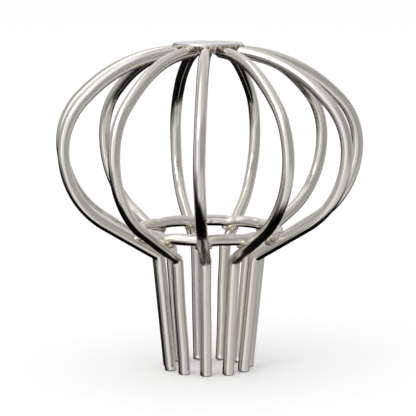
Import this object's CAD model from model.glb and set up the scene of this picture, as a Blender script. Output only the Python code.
import math
import random

import bmesh
import bpy
from mathutils import Matrix, Vector, noise


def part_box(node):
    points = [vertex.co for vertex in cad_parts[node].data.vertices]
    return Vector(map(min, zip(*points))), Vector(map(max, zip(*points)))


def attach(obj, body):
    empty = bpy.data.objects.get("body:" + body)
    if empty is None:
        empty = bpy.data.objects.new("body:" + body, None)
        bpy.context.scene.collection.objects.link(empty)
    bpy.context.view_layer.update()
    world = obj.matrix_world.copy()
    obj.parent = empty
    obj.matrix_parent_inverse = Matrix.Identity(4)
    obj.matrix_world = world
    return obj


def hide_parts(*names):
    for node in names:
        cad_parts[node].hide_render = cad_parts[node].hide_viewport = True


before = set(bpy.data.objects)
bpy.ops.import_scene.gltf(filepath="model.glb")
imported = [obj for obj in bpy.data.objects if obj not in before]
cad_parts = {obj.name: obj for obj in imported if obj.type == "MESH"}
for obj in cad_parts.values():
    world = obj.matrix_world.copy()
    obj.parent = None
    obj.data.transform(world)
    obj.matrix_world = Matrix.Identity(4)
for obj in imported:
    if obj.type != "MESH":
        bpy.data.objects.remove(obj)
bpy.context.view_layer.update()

# ---------------------------------------------------------------- bent wires
# Each of the eleven wires is one length of bright drawn stainless rod, bent cold on a former in a single
# upright plane: straight leg, tight neck bend, flare, belly, shoulder and a nearly level run under the cap.
# The cut tips are deburred, and the neck bend is squeezed a little where its inside is crowded.
MM = 0.001
wire_names = sorted(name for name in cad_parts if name.startswith("wire_"))
SPACING = 2 * math.pi / len(wire_names)
front_low, front_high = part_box(wire_names[0])
WIRE_RADIUS = (front_high.x - front_low.x) / 2
TIP_RADIUS, TIP_HEIGHT, TIP_ROUND = 13.9 * MM, 0.165 * MM, 0.4 * MM
NECK_RADIUS, NECK_HEIGHT, NECK_BEND = 18.0 * MM, 40.5 * MM, 2.4 * MM
BELLY_RADIUS, BELLY_HEIGHT = -front_low.y - WIRE_RADIUS, 78.0 * MM
FLARE, SLOPE = math.radians(31.0), math.radians(43.68)
SHOULDER_RADIUS, SHOULDER_HEIGHT, SHOULDER_BEND = 30.0 * MM, 109.1 * MM, 50.4 * MM
CROWN_RADIUS, CROWN_HEIGHT = -front_high.y, front_high.z - WIRE_RADIUS
HOOP_RUN = 9.2 * MM


def tangent_bow(corner, slant):
    """Radius of the bow from a corner's straight to the belly, and where it leaves the straight."""
    out, along = BELLY_RADIUS - corner.x, abs(BELLY_HEIGHT - corner.y)
    radius = (along * math.cos(slant) - out * math.sin(slant)) / (1 - math.sin(slant))
    side = math.copysign(1, corner.y - BELLY_HEIGHT)
    leave = Vector((radius * (math.sin(slant) - 1), side * radius * math.cos(slant)))
    return radius, Vector((BELLY_RADIUS, BELLY_HEIGHT)) + leave


def rounded_corner(before, corner, after, radius):
    """The two points where an arc rounds off a corner, its centre, and its two directions in radians."""
    back, forth = (before - corner).normalized(), (after - corner).normalized()
    half = back.angle(forth) / 2
    centre = corner + (back + forth).normalized() * radius / math.sin(half)
    first, last = (corner + way * radius / math.tan(half) for way in (back, forth))
    angles = [math.atan2(*reversed(point - centre)) for point in (first, last)]
    return first, last, centre, angles


def straight(start, end, step=1.2 * MM):
    """Points along a straight, without its last one."""
    count = max(1, round((end - start).length / step))
    return [start.lerp(end, index / count) for index in range(count)]


FEWEST_TURN_STEPS = 6


def turn(centre, radius, start, end, step):
    """Points along an arc between two directions in radians, without its last one."""
    count = max(FEWEST_TURN_STEPS, round(abs(end - start) * radius / step))
    angles = [start + (end - start) * index / count for index in range(count)]
    return [centre + radius * Vector((math.cos(angle), math.sin(angle))) for angle in angles]


def wire_line():
    """The wire's centre line in its own plane: distance from the axis and height, from tip to crown."""
    tip, crown = Vector((TIP_RADIUS, TIP_HEIGHT)), Vector((CROWN_RADIUS, CROWN_HEIGHT))
    neck, belly = Vector((NECK_RADIUS, NECK_HEIGHT)), Vector((BELLY_RADIUS, BELLY_HEIGHT))
    shoulder = Vector((SHOULDER_RADIUS, SHOULDER_HEIGHT))
    low, low_start = tangent_bow(neck, FLARE)
    high, high_end = tangent_bow(shoulder, SLOPE)
    leg_end, flare_start, neck_centre, neck_turn = rounded_corner(tip, neck, low_start, NECK_BEND)
    shoulder_arc = rounded_corner(high_end, shoulder, crown, SHOULDER_BEND)
    slope_end, top_start, shoulder_centre, shoulder_turn = shoulder_arc
    points = straight(tip, leg_end, step=1.6 * MM)
    points += turn(neck_centre, NECK_BEND, *neck_turn, step=0.25 * MM)
    points += straight(flare_start, low_start)
    points += turn(belly - Vector((low, 0)), low, FLARE - math.pi / 2, 0, step=1.2 * MM)
    points += turn(belly - Vector((high, 0)), high, 0, math.pi / 2 - SLOPE, step=1.1 * MM)
    points += straight(high_end, slope_end)
    points += turn(shoulder_centre, SHOULDER_BEND, *shoulder_turn, step=1.0 * MM)
    points += straight(top_start, crown) + [crown]
    return points


def wire_angle(step):
    """Direction of a wire's plane: the first is at the front, and they count anticlockwise from above."""
    return -math.pi / 2 + SPACING * step


def standing(angle, radius, height, sideways=0.0):
    """A place in the cage: so far from the axis in a wire's plane, so high, and so far across that plane."""
    out = Vector((math.cos(angle), math.sin(angle), 0))
    across = Vector((-math.sin(angle), math.cos(angle), 0))
    return out * radius + across * sideways + Vector((0, 0, height))


line = wire_line()
hoop_seat = Vector((NECK_RADIUS, NECK_HEIGHT)) + HOOP_RUN * Vector((math.cos(FLARE), math.sin(FLARE)))
cap_seat = Vector((CROWN_RADIUS + WIRE_RADIUS, CROWN_HEIGHT))
SWAY, SWAY_RISE = 0.22 * MM, 12 * MM
SWAY_SCALE, SWAY_STEP = 60, 7.3
SQUEEZE_REACH, SQUEEZE_WIDER, SQUEEZE_FLATTER = 1.6 * MM, 0.05, 0.04
HEAT_REACH = 4.5 * MM


def bell(distance, reach):
    """A smooth fall from 1 to nothing: about a third is left at the reach."""
    return math.exp(-(distance / reach) ** 2)


def rounded_end(end, near):
    """Rings that round off one end of a wire, from its side in to its face."""
    centre, side, up, along, warmth = end
    outward = (centre - near[0]).normalized()
    rings = [(centre - outward * TIP_ROUND, side, up, along, warmth)]
    for part in (0.25, 0.5, 0.75, 1.0):
        drop = TIP_ROUND * (1 - math.sin(part * math.pi / 2))
        trim = 1 - TIP_ROUND / WIRE_RADIUS * (1 - math.cos(part * math.pi / 2))
        rings.append((centre - outward * drop, side * trim, up * trim, along, warmth))
    return rings


def wire_rings(step):
    """Rings of one wire, with the small unevenness of hand bending and rounded ends."""
    angle = wire_angle(step)
    neck = Vector((NECK_RADIUS, NECK_HEIGHT))
    rings, along = [], 0.0
    for index, point in enumerate(line):
        before, after = line[max(index - 1, 0)], line[min(index + 1, len(line) - 1)]
        if index:
            along += (point - line[index - 1]).length
        heading = (after - before).normalized()
        from_hoop, from_cap = (point - hoop_seat).length, (point - cap_seat).length
        seed = Vector((point.x * SWAY_SCALE, point.y * SWAY_SCALE, step * SWAY_STEP))
        sway = SWAY * min(1.0, from_hoop / SWAY_RISE, from_cap / SWAY_RISE) * noise.noise(seed)
        squeeze = bell((point - neck).length, SQUEEZE_REACH)
        side = standing(angle, 0, 0, 1.0) * (WIRE_RADIUS * (1 + SQUEEZE_WIDER * squeeze))
        up = standing(angle, -heading.y, heading.x) * (WIRE_RADIUS * (1 - SQUEEZE_FLATTER * squeeze))
        warmth = bell(min(from_hoop, from_cap), HEAT_REACH)
        rings.append((standing(angle, point.x, point.y, sway), side, up, along + step, warmth))
    tip, crown = rounded_end(rings[0], rings[1]), rounded_end(rings[-1], rings[-2])
    return tip[::-1] + rings[1:-1] + crown


SIDES = 32


def tube(name, rings, closed=False):
    """Mesh of a round bar from rings of (centre, half-width sideways, half-width upward, run, warmth).

    It keeps its unrolled skin and its warmth from the nearest weld as attributes, for its finish.
    """
    shape = bmesh.new()
    skin = shape.verts.layers.float_vector.new("skin")
    heat = shape.verts.layers.float.new("heat")
    loops = []
    for centre, side, up, along, warmth in rings:
        loop = []
        for index in range(SIDES):
            angle = 2 * math.pi * index / SIDES
            vert = shape.verts.new(centre + side * math.cos(angle) + up * math.sin(angle))
            vert[skin] = (WIRE_RADIUS * math.cos(angle), WIRE_RADIUS * math.sin(angle), along)
            vert[heat] = warmth
            loop.append(vert)
        loops.append(loop)
    for first, second in zip(loops, loops[1:] + loops[:1] if closed else loops[1:]):
        for index in range(SIDES):
            after = (index + 1) % SIDES
            shape.faces.new((first[index], first[after], second[after], second[index]))
    if not closed:
        shape.faces.new(loops[0])
        shape.faces.new(loops[-1])
    bmesh.ops.recalc_face_normals(shape, faces=shape.faces)
    mesh = bpy.data.meshes.new(name)
    shape.to_mesh(mesh)
    shape.free()
    for polygon in mesh.polygons:
        polygon.use_smooth = len(polygon.vertices) == 4
    return mesh


def place(name, mesh, material):
    """Put a mesh in the scene as a piece with one finish."""
    piece = bpy.data.objects.new(name, mesh)
    bpy.context.collection.objects.link(piece)
    piece.data.materials.append(material)
    return piece


class Value:
    """A shader socket that takes part in arithmetic. Each operation adds one Math node."""

    def __init__(self, nodes, socket):
        self.nodes, self.socket = nodes, socket

    def __add__(self, other):
        return self.nodes.maths("ADD", self, other)

    def __radd__(self, other):
        return self.nodes.maths("ADD", other, self)

    def __sub__(self, other):
        return self.nodes.maths("SUBTRACT", self, other)

    def __rsub__(self, other):
        return self.nodes.maths("SUBTRACT", other, self)

    def __mul__(self, other):
        return self.nodes.maths("MULTIPLY", self, other)

    def __rmul__(self, other):
        return self.nodes.maths("MULTIPLY", other, self)


class Nodes:
    """A node tree being built, for a finish or for the light of the room."""

    def __init__(self, tree):
        self.tree = tree

    def node(self, kind, settings, sockets, output=0):
        """Add a node: its settings first, then the values or links of its sockets. Gives one output."""
        made = self.tree.nodes.new(kind)
        for name, value in settings.items():
            setattr(made, name, value)
        for name, value in sockets.items():
            self.feed(made.inputs[name], value)
        return None if output is None else Value(self, made.outputs[output])

    def feed(self, socket, value):
        """Set a socket's value, or link it."""
        if isinstance(value, Value):
            self.tree.links.new(value.socket, socket)
        else:
            socket.default_value = value

    def maths(self, operation, first, second):
        """One Math node on two values."""
        return self.node("ShaderNodeMath", {"operation": operation}, {0: first, 1: second})

    def mix(self, share, first, second):
        """A blend of two colours."""
        sockets = {0: share}
        for number, colour in ((6, first), (7, second)):
            sockets[number] = (*colour, 1.0) if isinstance(colour, tuple) else colour
        return self.node("ShaderNodeMix", {"data_type": "RGBA"}, sockets, 2)

    def attribute(self, name, output="Vector"):
        """A value that the mesh keeps at each of its points."""
        return self.node("ShaderNodeAttribute", {"attribute_name": name}, {}, output)

    def grain(self, point, stretch, detail=3.0):
        """Noise with a fineness of its own in each direction, from 0 to 1."""
        spread = self.node("ShaderNodeVectorMath", {"operation": "MULTIPLY"}, {0: point, 1: stretch})
        sockets = {"Vector": spread, "Scale": 1.0, "Detail": detail, "Roughness": 0.55}
        return self.node("ShaderNodeTexNoise", {}, sockets)

    def limit(self, value, low, high):
        """A value stretched so that it is 0 at low and 1 at high, and held between them."""
        return self.node("ShaderNodeMapRange", {}, {"Value": value, "From Min": low, "From Max": high})

    def ease(self, value, low, high):
        """A smooth step from 0 at low to 1 at high."""
        sockets = {"Value": value, "From Min": low, "From Max": high}
        return self.node("ShaderNodeMapRange", {"interpolation_type": "SMOOTHSTEP"}, sockets)


class Look(Nodes):
    """A finish being built: a shader, and the nodes that feed it."""

    def __init__(self, name):
        self.material = bpy.data.materials.new(name)
        self.material.use_nodes = True
        super().__init__(self.material.node_tree)

    def bump(self, height, distance):
        """Fine relief that is this deep."""
        return self.node("ShaderNodeBump", {}, {"Height": height, "Distance": distance, "Strength": 1.0})

    def surface(self, **sockets):
        """Feed the shader's own sockets and give the finished material."""
        shader = self.tree.nodes["Principled BSDF"]
        for name, value in sockets.items():
            self.feed(shader.inputs[name.replace("_", " ").title()], value)
        return self.material


BRIGHT, DULL = (0.94, 0.91, 0.855), (0.80, 0.765, 0.70)
STRAW, BROWN = (0.60, 0.49, 0.33), (0.20, 0.145, 0.09)


def rod_finish():
    """Bright drawn rod: fine die lines, faint handling marks, and straw to brown tint round the welds."""
    look = Look("drawn_bright_rod")
    skin, heat = look.attribute("skin"), look.attribute("heat", "Fac")
    die_lines = look.grain(skin, stretch=(2600.0, 2600.0, 40.0), detail=4.0)
    streaks = look.grain(skin, stretch=(900.0, 900.0, 28.0), detail=2.0)
    smears = look.grain(skin, stretch=(160.0, 160.0, 90.0), detail=4.0)
    marks = look.limit(smears, low=0.52, high=0.74)
    broken = look.grain(skin, stretch=(700.0, 700.0, 500.0))
    tint = look.limit(heat * (0.55 + 0.9 * broken), low=0.18, high=0.75)
    burn = look.limit(heat * (0.3 + 1.1 * broken), low=0.62, high=0.95)
    colour = look.mix(look.limit(streaks, low=0.3, high=0.7), DULL, BRIGHT)
    colour = look.mix(marks * 0.35, colour, DULL)
    colour = look.mix(tint * 0.75, colour, STRAW)
    colour = look.mix(burn * 0.8, colour, BROWN)
    roughness = 0.10 + 0.08 * die_lines + 0.06 * marks + 0.16 * tint
    relief = look.bump(die_lines + 2.0 * streaks, distance=0.0025 * MM)
    return look.surface(base_color=colour, metallic=1.0, roughness=roughness, normal=relief)


rod = rod_finish()
for step, name in enumerate(wire_names):
    bent_name = name.replace("wire", "bent_wire")
    wire = place(bent_name, tube(bent_name, wire_rings(step)), rod)
    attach(wire, "root")
    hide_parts(name)

# ---------------------------------------------------------------- neck hoop
# One ring of the same rod, rolled and butt welded at one side. It lies inside the flare and is pressed on to
# each wire as it is welded, so it dips a little at every crossing and is nearly straight between them.
hoop_low, hoop_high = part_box("neck_hoop")
HOOP_RADIUS = (hoop_high.x - hoop_low.x) / 2 - WIRE_RADIUS
HOOP_HEIGHT = (hoop_low.z + hoop_high.z) / 2
HOOP_DIP, HOOP_DIP_REACH, HOOP_LIFT = 0.46 * MM, 2.3 * MM, 0.12 * MM
HOOP_WOBBLE, HOOP_WOBBLE_SCALE = 0.10 * MM, 3
HOOP_HEAT_REACH = 3.6 * MM
HOOP_RINGS = 28 * len(wire_names)
SEAM_ANGLE = wire_angle(8.5)
SEAM_HEAT, SEAM_HEAT_REACH = 0.9, 3.0 * MM
flare_normal = Vector((-math.sin(FLARE), math.cos(FLARE)))


def from_wire(angle):
    """Angle from the nearest wire's plane, signed."""
    return (angle - wire_angle(0) + SPACING / 2) % SPACING - SPACING / 2


def hoop_rings():
    """Rings of the hoop, from the back round, with the dips at its crossings."""
    rings = []
    for index in range(HOOP_RINGS):
        angle = 2 * math.pi * index / HOOP_RINGS + math.pi / 2
        off = from_wire(angle) * HOOP_RADIUS
        off_seam = abs((angle - SEAM_ANGLE + math.pi) % (2 * math.pi) - math.pi) * HOOP_RADIUS
        dip = HOOP_DIP * bell(off, HOOP_DIP_REACH) - HOOP_LIFT
        seed = Vector((math.cos(angle), math.sin(angle), 3.0)) * HOOP_WOBBLE_SCALE
        radius = HOOP_RADIUS - flare_normal.x * dip + HOOP_WOBBLE * noise.noise(seed)
        centre = standing(angle, radius, HOOP_HEIGHT - flare_normal.y * dip)
        out, up = standing(angle, WIRE_RADIUS, 0), Vector((0, 0, WIRE_RADIUS))
        warmth = max(bell(off, HOOP_HEAT_REACH), SEAM_HEAT * bell(off_seam, SEAM_HEAT_REACH))
        rings.append((centre, out, up, angle * HOOP_RADIUS, warmth))
    return rings


hoop = place("hoop_ring", tube("hoop_ring", hoop_rings(), closed=True), rod)
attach(hoop, "root")
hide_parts("neck_hoop")

# ---------------------------------------------------------------- cap disc
# A disc blanked from satin stainless sheet. Its upper edge is drawn over a little by the punch, and the heat
# of the eleven welds has left the rim faintly waved and tinted.
cap_low, cap_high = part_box("cap_disc")
CAP_RADIUS = (cap_high.x - cap_low.x) / 2
CAP_BASE, CAP_TOP = cap_low.z, cap_high.z
CAP_EDGE, CAP_FALL, CAP_BREAK, CAP_WAVE = 0.34 * MM, 0.02 * MM, 0.12 * MM, 0.05 * MM
CAP_FLAT_SHARE, CAP_FALLING_SHARE, CAP_UNDER_SHARE = 0.35, 0.7, 0.6
CAP_HEAT_ALONG, CAP_HEAT_INWARD = 2.6 * MM, 2.2 * MM
CAP_SIDES, CAP_EDGE_STEPS = 12 * len(wire_names), 6


def cap_section():
    """The disc's section from the middle of its top, out round its edge, to the middle of its underside."""
    section = [(0.0, CAP_TOP), (CAP_FLAT_SHARE * CAP_RADIUS, CAP_TOP)]
    section += [(CAP_FALLING_SHARE * CAP_RADIUS, CAP_TOP - CAP_FALL / 2)]
    for part in range(CAP_EDGE_STEPS + 1):
        bend = math.pi / 2 * part / CAP_EDGE_STEPS
        rise = CAP_TOP - CAP_EDGE + CAP_EDGE * math.cos(bend) - CAP_FALL
        section.append((CAP_RADIUS - CAP_EDGE + CAP_EDGE * math.sin(bend), rise))
    section += [(CAP_RADIUS, (CAP_BASE + CAP_TOP) / 2), (CAP_RADIUS, CAP_BASE + CAP_BREAK)]
    underside = (CAP_RADIUS - CAP_BREAK, CAP_UNDER_SHARE * CAP_RADIUS, 0.0)
    section += [(radius, CAP_BASE) for radius in underside]
    return section


def cap_mesh():
    """The disc turned from its section, with the rim waved between the welds."""
    shape = bmesh.new()
    skin = shape.verts.layers.float_vector.new("skin")
    heat = shape.verts.layers.float.new("heat")
    loops = []
    for radius, height in cap_section():
        loop = []
        for index in range(CAP_SIDES if radius else 1):
            turned = 2 * math.pi * index / CAP_SIDES
            angle = turned - math.pi / 2
            wave = CAP_WAVE * (radius / CAP_RADIUS) ** 4 * (math.cos(len(wire_names) * turned) - 1)
            vert = shape.verts.new(standing(angle, radius, height + wave))
            vert[skin] = vert.co
            off = from_wire(angle) * CAP_RADIUS
            vert[heat] = bell(off, CAP_HEAT_ALONG) * bell(CAP_RADIUS - radius, CAP_HEAT_INWARD)
            loop.append(vert)
        loops.append(loop)
    for first, second in zip(loops, loops[1:]):
        for index in range(CAP_SIDES):
            after = (index + 1) % CAP_SIDES
            corners = [first[index % len(first)], first[after % len(first)]]
            corners += [second[after % len(second)], second[index % len(second)]]
            shape.faces.new(list(dict.fromkeys(corners)))
    bmesh.ops.recalc_face_normals(shape, faces=shape.faces)
    mesh = bpy.data.meshes.new("cap_plate")
    shape.to_mesh(mesh)
    shape.free()
    mesh.shade_smooth()
    return mesh


SATIN_DARK, SATIN_LIGHT = (0.88, 0.87, 0.85), (0.96, 0.95, 0.93)


def sheet_finish():
    """Satin sheet: a fine one-way grain, faint marks, and straw tint in from the rim at the welds."""
    look = Look("satin_sheet")
    skin, heat = look.attribute("skin"), look.attribute("heat", "Fac")
    grain = look.grain(skin, stretch=(300.0, 9000.0, 3000.0), detail=4.0)
    cloud = look.grain(skin, stretch=(210.0, 210.0, 210.0))
    broken = look.grain(skin, stretch=(900.0, 900.0, 900.0))
    tint = look.limit(heat * (0.5 + broken), low=0.25, high=0.95)
    colour = look.mix(look.limit(cloud, low=0.35, high=0.65), SATIN_DARK, SATIN_LIGHT)
    colour = look.mix(tint * 0.7, colour, STRAW)
    roughness = 0.22 + 0.12 * grain + 0.08 * cloud
    relief = look.bump(grain, distance=0.004 * MM)
    return look.surface(base_color=colour, metallic=1.0, roughness=roughness, normal=relief)


cap = place("cap_plate", cap_mesh(), sheet_finish())
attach(cap, "root")
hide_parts("cap_disc")

# ---------------------------------------------------------------- weld beads
# Small fused nuggets of the rod's own metal: one squeezed out round each crossing of hoop and wire, one
# where each wire passes under the cap's rim, and a collar where the hoop's ends meet. None is ground off.
chance = random.Random(11)
MELT_STEP = 0.13 * MM
SWELL, SWELL_SCALE = 0.16, 1.4
SILVER = (0.70, 0.67, 0.61)


def weld_finish():
    """Weld metal left as welded: rippled, duller than the rod, straw to brown with silver crests."""
    look = Look("weld_metal")
    point = look.node("ShaderNodeTexCoord", {}, {}, "Object")
    ripple = look.grain(point, stretch=(2200.0, 2200.0, 2200.0))
    patch = look.grain(point, stretch=(620.0, 620.0, 620.0), detail=2.0)
    colour = look.mix(look.limit(patch, low=0.4, high=0.66), SILVER, STRAW)
    colour = look.mix(look.limit(ripple * patch, low=0.27, high=0.42), colour, BROWN)
    relief = look.bump(ripple, distance=0.05 * MM)
    return look.surface(base_color=colour, metallic=1.0, roughness=0.24 + 0.22 * ripple, normal=relief)


weld_metal = weld_finish()


def facing(angle, tilt=0.0):
    """Turn that takes X outward in a wire's plane, tipped up by tilt, and Y across it."""
    return Matrix.Rotation(angle, 3, "Z") @ Matrix.Rotation(-tilt, 3, "Y")


def nugget(name, lumps, node):
    """A bead made of lumps of (centre, three half-widths, turn), melted into one skin."""
    shape = bmesh.new()
    for centre, halves, way in lumps:
        seed = Vector((chance.uniform(0, 50), chance.uniform(0, 50), chance.uniform(0, 50)))
        for vert in bmesh.ops.create_icosphere(shape, subdivisions=3, radius=1.0)["verts"]:
            swell = 1 + SWELL * noise.noise(vert.co * SWELL_SCALE + seed)
            vert.co = centre + way @ Vector(co * half * swell for co, half in zip(vert.co, halves))
    mesh = bpy.data.meshes.new(name)
    shape.to_mesh(mesh)
    shape.free()
    bead = place(name, mesh, weld_metal)
    melt = bead.modifiers.new("melt", "REMESH")
    melt.mode, melt.voxel_size, melt.use_smooth_shade = "VOXEL", MELT_STEP, True
    settle = bead.modifiers.new("settle", "SMOOTH")
    settle.factor, settle.iterations = 0.5, 3
    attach(bead, "root")
    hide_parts(node)


CORE_BITE, LUMP_BITE = 0.15 * MM, 0.25 * MM
CORE_HALVES, LUMP_HALVES = Vector((1.9, 1.9, 0.55)) * MM, Vector((1.0, 1.08, 0.74))
LUMP_ALONG, LUMP_ACROSS = 0.95 * MM, 1.75 * MM
LOWER_SWELL, UPPER_SHRINK = 1.1, 0.8
along_flare = Vector((math.cos(FLARE), math.sin(FLARE)))
for step in range(len(wire_names)):
    angle = wire_angle(step)
    seat = hoop_seat + flare_normal * (WIRE_RADIUS - CORE_BITE)
    lumps = [(standing(angle, seat.x, seat.y), CORE_HALVES, facing(angle, FLARE))]
    for side in (-1, 1):
        for down in (-1, 1):
            size = chance.uniform(0.75, 1.25) * (LOWER_SWELL if down > 0 else UPPER_SHRINK)
            across = side * (LUMP_ACROSS * chance.uniform(0.9, 1.15))
            point = hoop_seat - down * LUMP_ALONG * along_flare + flare_normal * (WIRE_RADIUS - LUMP_BITE)
            middle = standing(angle, point.x, point.y, across)
            lumps.append((middle, LUMP_HALVES * size * MM, facing(angle, FLARE)))
    nugget("hoop_bead_%02d" % (step + 1), lumps, "hoop_weld_%02d" % (step + 1))

CAP_CORE_IN, CAP_CORE_DOWN, CAP_CORE_HALVES = 0.4 * MM, 0.1 * MM, Vector((0.9, 1.7, 0.5)) * MM
CAP_LUMP_IN, CAP_LUMP_DOWN, CAP_LUMP_HALVES = 0.6 * MM, 0.45 * MM, Vector((0.95, 0.75, 0.65))
for step in range(len(wire_names)):
    angle = wire_angle(step)
    core = standing(angle, CAP_RADIUS - CAP_CORE_IN, CAP_BASE - CAP_CORE_DOWN)
    lumps = [(core, CAP_CORE_HALVES, facing(angle))]
    for side in (-1, 1):
        size = chance.uniform(0.6, 1.2)
        middle = standing(angle, CAP_RADIUS - CAP_LUMP_IN, CAP_BASE - CAP_LUMP_DOWN, side * LUMP_ACROSS)
        lumps.append((middle, CAP_LUMP_HALVES * size * MM, facing(angle)))
    nugget("cap_bead_%02d" % (step + 1), lumps, "cap_weld_%02d" % (step + 1))

SEAM_LUMPS, SEAM_HALVES = 14, Vector((0.45, 0.85, 0.45)) * MM
lumps = []
for index in range(SEAM_LUMPS):
    around = 2 * math.pi * index / SEAM_LUMPS
    radius = HOOP_RADIUS + math.cos(around) * (WIRE_RADIUS - LUMP_BITE)
    middle = standing(SEAM_ANGLE, radius, HOOP_HEIGHT + math.sin(around) * (WIRE_RADIUS - LUMP_BITE))
    lumps.append((middle, SEAM_HALVES, facing(SEAM_ANGLE)))
nugget("hoop_seam_bead", lumps, "hoop_butt_weld")

# ---------------------------------------------------------------- floor and lamp
# A plain pale floor of matt board, under one broad soft lamp to the left of the front. The floor is left out
# of mirror reflections, so metal that faces down mirrors the dark lower part of the room.
FLOOR_REACH, FLOOR_WHITE = 9.0, (0.9, 0.9, 0.9, 1.0)
corners = [(x * FLOOR_REACH, y * FLOOR_REACH, 0) for x, y in ((-1, -1), (1, -1), (1, 1), (-1, 1))]
floor_mesh = bpy.data.meshes.new("floor")
floor_mesh.from_pydata(corners, [], [(0, 1, 2, 3)])
floor = place("floor", floor_mesh, Look("pale_floor").surface(base_color=FLOOR_WHITE, roughness=0.9))
floor.visible_glossy = False

LAMP_PLACE, LAMP_AIM = Vector((-0.9, -1.1, 1.3)), Vector((0, 0, 0.06))
LAMP_WIDTH, LAMP_POWER = 0.9, 5.0
key = bpy.data.lights.new("key", "AREA")
key.shape, key.size, key.energy = "SQUARE", LAMP_WIDTH, LAMP_POWER
lamp = bpy.data.objects.new("key", key)
lamp.location = LAMP_PLACE
lamp.rotation_euler = (LAMP_AIM - LAMP_PLACE).to_track_quat("-Z", "Y").to_euler()
bpy.context.collection.objects.link(lamp)

# ---------------------------------------------------------------- mirrored room
# What bright metal mirrors, by the direction a reflection leaves in: a tall bright strip ahead and to the
# left, grey walls, a pale ceiling and back wall, and a dark low area. Matt surfaces see an even white room.
STRIP, LEFT_WALL, LEFT_SHADE, RIGHT_WALL = 0.96, 0.55, 0.30, 0.46
TABLE, CEILING, BACK_WALL, EVEN_WHITE = 0.30, 0.34, 0.42, 1.12
LOW_REMAINS, DARK_DEPTH = 0.08, 0.985
world = bpy.data.worlds.new("studio")
bpy.context.scene.world = world
world.use_nodes = True
world.node_tree.nodes.clear()
room = Nodes(world.node_tree)
direction = room.node("ShaderNodeTexCoord", {}, {}, "Generated")
to_right, away, upward = (room.node("ShaderNodeSeparateXYZ", {}, {0: direction}, axis) for axis in "XYZ")

# Turn to the right of straight ahead, in degrees. Directions that rise are swung round a little, because the
# strip leans over the cage at its top.
rising = room.maths("MAXIMUM", upward, 0.0)
turned = room.maths("ARCTAN2", to_right + 0.2 * rising, 0.6 * rising - away) * (180 / math.pi)

near = 1.0 - room.ease(away, -0.35, 0.45)
below = 1.0 - room.ease(upward, -0.42, -0.12)
strip_left = room.ease(turned, -56.0, -42.0) * (1.0 - below) + room.ease(turned, -38.0, -20.0) * below
strip_right = 1.0 - room.ease(turned, 4.0, 20.0)
strip = STRIP * strip_left * strip_right * room.ease(upward, -0.87, -0.75)
left_wall = LEFT_WALL * (1.0 - room.ease(turned, -42.0, -8.0))
left_shade = LEFT_SHADE * below * (1.0 - room.ease(turned, -46.0, -22.0))
right_wall = RIGHT_WALL * room.ease(turned, 0.0, 18.0)
table = TABLE * below * near * room.ease(turned, 4.0, 18.0)
ceiling = CEILING * room.ease(upward, 0.60, 0.90)
back_wall = BACK_WALL * room.ease(away, 0.35, 0.95)
glow = left_wall - left_shade + right_wall + strip + table + ceiling + back_wall
glow = glow * (LOW_REMAINS + (1 - LOW_REMAINS) * room.ease(upward, -0.93, -0.76))
dark_way = Vector((-0.25, 0.5, -0.83)).normalized()
two_ways = {0: direction, 1: dark_way}
toward_dark = room.node("ShaderNodeVectorMath", {"operation": "DOT_PRODUCT"}, two_ways, "Value")
glow = glow * (1.0 - DARK_DEPTH * room.ease(toward_dark, 0.36, 0.60))

shine = room.node("ShaderNodeBackground", {}, {"Strength": glow})
plain = room.node("ShaderNodeBackground", {}, {"Color": (1.0, 1.0, 1.0, 1.0), "Strength": EVEN_WHITE})
from_metal = room.node("ShaderNodeLightPath", {}, {}, "Is Glossy Ray")
both = room.node("ShaderNodeMixShader", {}, {0: from_metal, 1: plain, 2: shine})
room.node("ShaderNodeOutputWorld", {}, {"Surface": both}, None)
bpy.context.scene.view_settings.view_transform = "Standard"

# ---------------------------------------------------------------- camera
# A long lens, a little above the cage and a little to the right of its front wire.
AZIMUTH, ELEVATION, DISTANCE = math.radians(3.0), math.radians(7.84), 0.688
look_at = Vector((0, 0, 56.2 * MM))
lens = bpy.data.cameras.new("camera")
lens.lens = 172.0
lens.clip_start, lens.clip_end = 0.01, 50.0
camera = bpy.data.objects.new("camera", lens)
level = Vector((math.sin(AZIMUTH), -math.cos(AZIMUTH), 0)) * math.cos(ELEVATION)
back = level + Vector((0, 0, math.sin(ELEVATION)))
camera.location = look_at + back * DISTANCE
camera.rotation_euler = (-back).to_track_quat("-Z", "Y").to_euler()
bpy.context.collection.objects.link(camera)
bpy.context.scene.camera = camera
